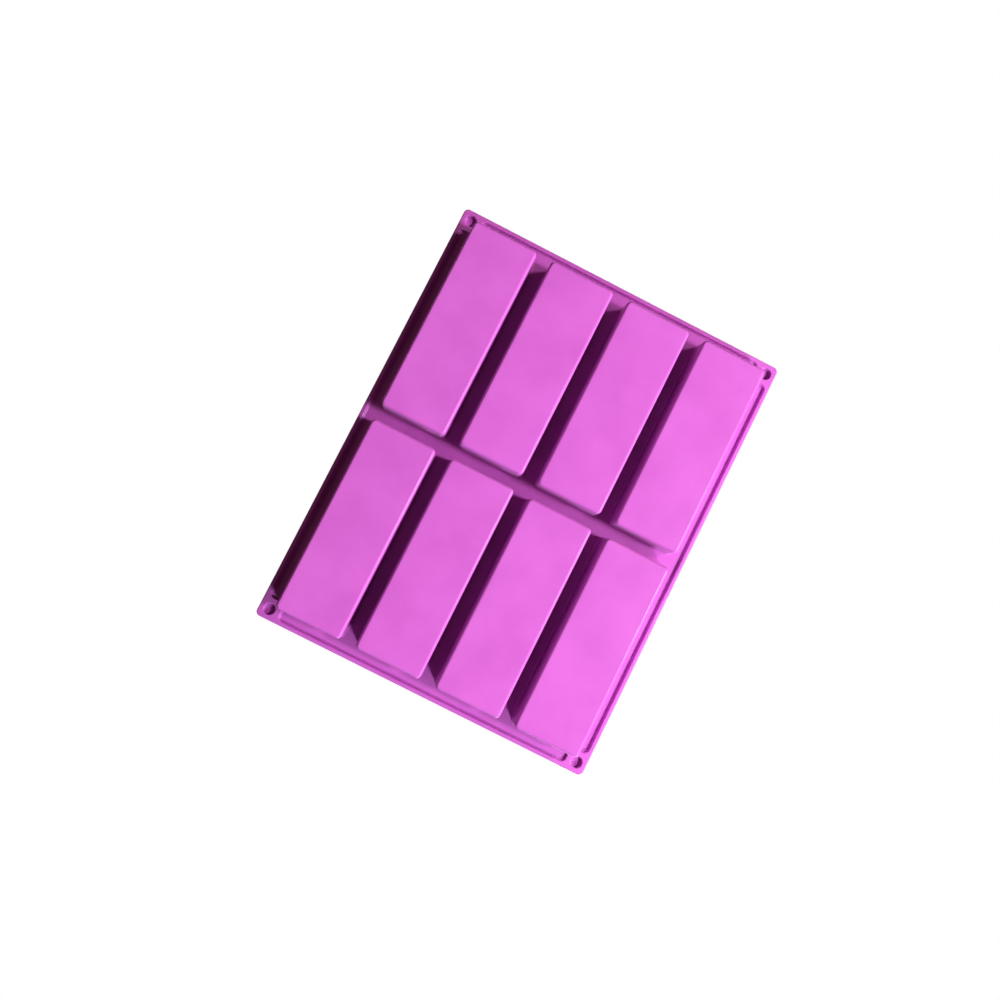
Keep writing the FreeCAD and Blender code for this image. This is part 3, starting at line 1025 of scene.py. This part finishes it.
@dataclass
class LipAndWeb:
    """The flat web between the cups, and the lip's four rails."""

    moulding: Moulding
    cups: CavityCups
    pads: CornerPads
    tree: Tree = field(default_factory=run_out_tree)

    def web_outline(self) -> list[np.ndarray]:
        """Outline of the web: its outer edge, which runs round the corner cups, and the middle windows.

        Returns:
            The outline first, then the windows.
        """
        mould = self.moulding
        collar = self.pads.collar_corner()
        reach = mould.lip_root
        front = self.pads.channel_end(reach, collar, False)
        side = self.pads.channel_end(reach, collar, True)
        shift = np.array((mould.half_length, mould.half_width))
        loop = self.cups.collar_line("cavity_cup_left_1")[:-1] + shift
        keep = (loop[:, 0] > front[-1][0]) | (loop[:, 1] > side[-1][1])
        first = int(np.argmax(keep & ~np.roll(keep, 1)))
        around = np.roll(loop, -first, axis=0)[:int(keep.sum())]
        corner = np.vstack((side, around[::-1], front[::-1])) - shift
        turns = [corner, corner[::-1] * (-1, 1), corner * (-1, -1), corner[::-1] * (1, -1)]
        windows = [self.cups.collar_line(node)[:-1] for node, (_, y) in mould.cup_spots.items()
                   if abs(y) < mould.half_width / 2]
        return [np.vstack(turns), *windows]

    def web(self, finish: bpy.types.Material) -> Piece:
        """Make the web.

        Args:
            finish: its material.

        Returns:
            The piece.
        """
        under, top = self.moulding.web_under, self.moulding.top
        loops = [[Vector((x, y, under)) for x, y in loop] for loop in self.web_outline()]
        base = plain_mesh("web_face", [p for loop in loops for p in loop], tessellate_polygon(loops))
        solid = self.tree.run("web_plate", base, {
            "Run": (0.0, 0.0, top - under), "Copies": 1, "Finish": finish})
        sealed(solid.data)
        return Piece("web_plate", "deck_web", soften(solid))

    def rails(self, finish: bpy.types.Material) -> list[Piece]:
        """Make the rails, each pair from one section.

        Args:
            finish: their material.

        Returns:
            One piece for each side.
        """
        mould = self.moulding
        section = mould.outer_section()
        section += [(mould.rail_width + reach, height) for reach, height in reversed(mould.inner_section())]
        pieces = []
        for sides, half, across in ((("front", "back"), mould.half_length, mould.half_width),
                                    (("left", "right"), mould.half_width, mould.half_length)):
            end = half - mould.pad_arm
            if sides[0] == "front":
                points = [(-end, inset - across, height) for inset, height in section]
                run = (2 * end, 0.0, 0.0)
            else:
                points = [(inset - across, -end, height) for inset, height in section]
                run = (0.0, 2 * end, 0.0)
            base = plain_mesh("rail_section", points, [range(len(points))])
            pair = self.tree.run("rails_together", base, {"Run": run, "Copies": 2, "Finish": finish})
            pieces += share_out(pair, {f"rim_rail_{side}": f"lip_rail_{side}" for side in sides})
        return pieces


# ---------------------------------------------------------------- studio


@dataclass(frozen=True)
class SoftLight:
    """A rectangular soft light that faces the mould's middle.

    Its place is given as a heading in degrees from +Y towards +X, a height in degrees above the floor, and
    a distance. A light without glints adds to the matte colour only.
    """

    name: str
    heading: float
    height: float
    distance: float
    wide: float
    tall: float
    watts: float
    colour: Colour = (1.0, 1.0, 1.0)
    glints: bool = False

    def put(self) -> None:
        """Put the light in the scene, unseen by the camera."""
        data = bpy.data.lights.new(self.name, "AREA")
        data.shape = "RECTANGLE"
        data.size = self.wide
        data.size_y = self.tall
        data.energy = self.watts
        data.color = self.colour
        lamp = link(bpy.data.objects.new(self.name, data))
        heading, height = math.radians(self.heading), math.radians(self.height)
        level = math.cos(height)
        way = Vector((math.sin(heading) * level, math.cos(heading) * level, math.sin(height)))
        lamp.location = way * self.distance
        lamp.visible_glossy = self.glints
        lamp.rotation_euler = (-way).to_track_quat("-Z", "Y").to_euler()
        lamp.visible_camera = False


@dataclass(frozen=True)
class Studio:
    """Pale floor that fades to white, soft lights below for the underside and above for the cavities.

    The floor is there for the camera alone and blocks no light, so the lights below it reach the mould.
    """

    floor_side: float = 4.0
    floor_gap: float = 0.3 * MM
    floor_fade: tuple[float, float] = (0.30, 1.10)
    floor_tone: Colour = (0.86, 0.86, 0.86)
    surround: Colour = (1.0, 1.0, 1.0)
    ambient: Colour = (0.040, 0.024, 0.016)
    lights: tuple[SoftLight, ...] = (
        SoftLight("key_below", 5.0, -45.0, 1.8, 0.24, 0.24, 26.0, (1.0, 0.78, 1.0), True),
        SoftLight("strip_below", 4.0, -30.0, 1.8, 1.2, 0.14, 15.0, (1.0, 0.95, 0.95)),
        SoftLight("side_below_left", -42.0, -30.0, 1.5, 0.26, 0.26, 21.5, (1.0, 1.2, 1.12)),
        SoftLight("side_below_right", 38.0, -30.0, 1.5, 0.26, 0.26, 15.0, (1.0, 1.05, 0.88)),
        SoftLight("fill_below", 190.0, -20.0, 1.5, 0.8, 0.5, 3.2, (1.0, 0.9, 0.75)),
        SoftLight("softbox_above", 144.0, 50.0, 1.5, 0.9, 0.9, 22.0),
        SoftLight("softbox_above_back", -49.0, 43.0, 1.5, 0.8, 0.8, 12.0, (1.0, 1.0, 1.0), True),
    )

    def build(self) -> None:
        """Lay the floor, light the scene and set the surroundings."""
        half, level = self.floor_side / 2, -self.floor_gap
        corners = [(x * half, y * half, level) for x, y in ((-1, -1), (1, -1), (1, 1), (-1, 1))]
        mesh = plain_mesh("studio_floor", corners, [range(len(corners))])
        mesh.materials.append(self.floor_material())
        floor = link(bpy.data.objects.new("studio_floor", mesh))
        for way in ("diffuse", "glossy", "transmission", "volume_scatter", "shadow"):
            setattr(floor, f"visible_{way}", False)
        floor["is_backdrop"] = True
        for light in self.lights:
            light.put()
        self.surroundings()
        bpy.context.scene.view_settings.view_transform = "Standard"

    def floor_material(self) -> bpy.types.Material:
        """Pale floor that fades out to white, and that a camera below it sees through.

        Returns:
            A node material that reads Object coordinates only.
        """
        material = bpy.data.materials.new("pale_floor")
        material.use_nodes = True
        tree = material.node_tree
        tree.nodes.clear()
        near, far = self.floor_fade
        middle = shade(tree, "TexCoord").outputs["Object"]
        reach = shade(tree, "VectorMath", {0: middle}, operation="LENGTH").outputs["Value"]
        fade = shade(tree, "MapRange", {"Value": reach, "From Min": near, "From Max": far},
                     interpolation_type="SMOOTHSTEP")
        pale = shade(tree, "BsdfDiffuse", {"Color": (*self.floor_tone, 1.0)})
        white = shade(tree, "Emission", {"Color": (*self.surround, 1.0)})
        ground = mixed(tree, fade.outputs[0], pale, white)
        from_below = shade(tree, "NewGeometry").outputs["Backfacing"]
        both = mixed(tree, from_below, ground, shade(tree, "BsdfTransparent"))
        shade(tree, "OutputMaterial", {"Surface": both.outputs[0]})
        return material

    def surroundings(self) -> None:
        """White behind the mould, and a dim even light from everywhere."""
        world = bpy.data.worlds.new("studio_surround")
        bpy.context.scene.world = world
        world.use_nodes = True
        tree = world.node_tree
        tree.nodes.clear()
        dim = shade(tree, "Background", {"Color": (*self.ambient, 1.0)})
        seen = shade(tree, "Background", {"Color": (*self.surround, 1.0)})
        both = mixed(tree, shade(tree, "LightPath").outputs["Is Camera Ray"], dim, seen)
        shade(tree, "OutputWorld", {"Surface": both.outputs[0]})


@dataclass(frozen=True)
class Camera:
    """Camera under the mould, a little off square."""

    place: tuple[float, float, float] = (-0.0637, -0.0319, -0.6207)
    aim: tuple[float, float, float] = (-0.0149, -0.0107, 0.0)
    turn: float = -26.75
    lens: float = 36.0
    sensor: float = 36.0
    clip: tuple[float, float] = (0.01, 20.0)

    def put(self) -> None:
        """Put the camera in the scene and look through it."""
        data = bpy.data.cameras.new("view_of_underside")
        data.lens = self.lens
        data.sensor_width = self.sensor
        data.clip_start, data.clip_end = self.clip
        camera = link(bpy.data.objects.new("view_of_underside", data))
        back = (Vector(self.place) - Vector(self.aim)).normalized()
        heading = Vector((math.cos(math.radians(self.turn)), math.sin(math.radians(self.turn)), 0.0))
        up = (heading - heading.dot(back) * back).normalized()
        right = up.cross(back)
        facing = Matrix((right, up, back)).transposed().to_4x4()
        camera.matrix_world = Matrix.Translation(self.place) @ facing
        bpy.context.scene.camera = camera


def main() -> None:
    """Build the mould's pieces round the frame, then the studio."""
    logging.basicConfig(level=logging.INFO, format="%(message)s")
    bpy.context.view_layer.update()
    moulding = Moulding.from_frame(frame["nodes"])
    silicone = SiliconeFinish().material()
    cups = CavityCups(moulding)
    pads = CornerPads(moulding, cups)
    sheet = LipAndWeb(moulding, cups, pads)
    made = (*cups.build(silicone), sheet.web(silicone), *sheet.rails(silicone), *pads.build(silicone))
    for piece in made:
        piece.settle()
    Studio().build()
    Camera().put()
    bpy.context.view_layer.update()


if __name__ == "__main__":
    main()
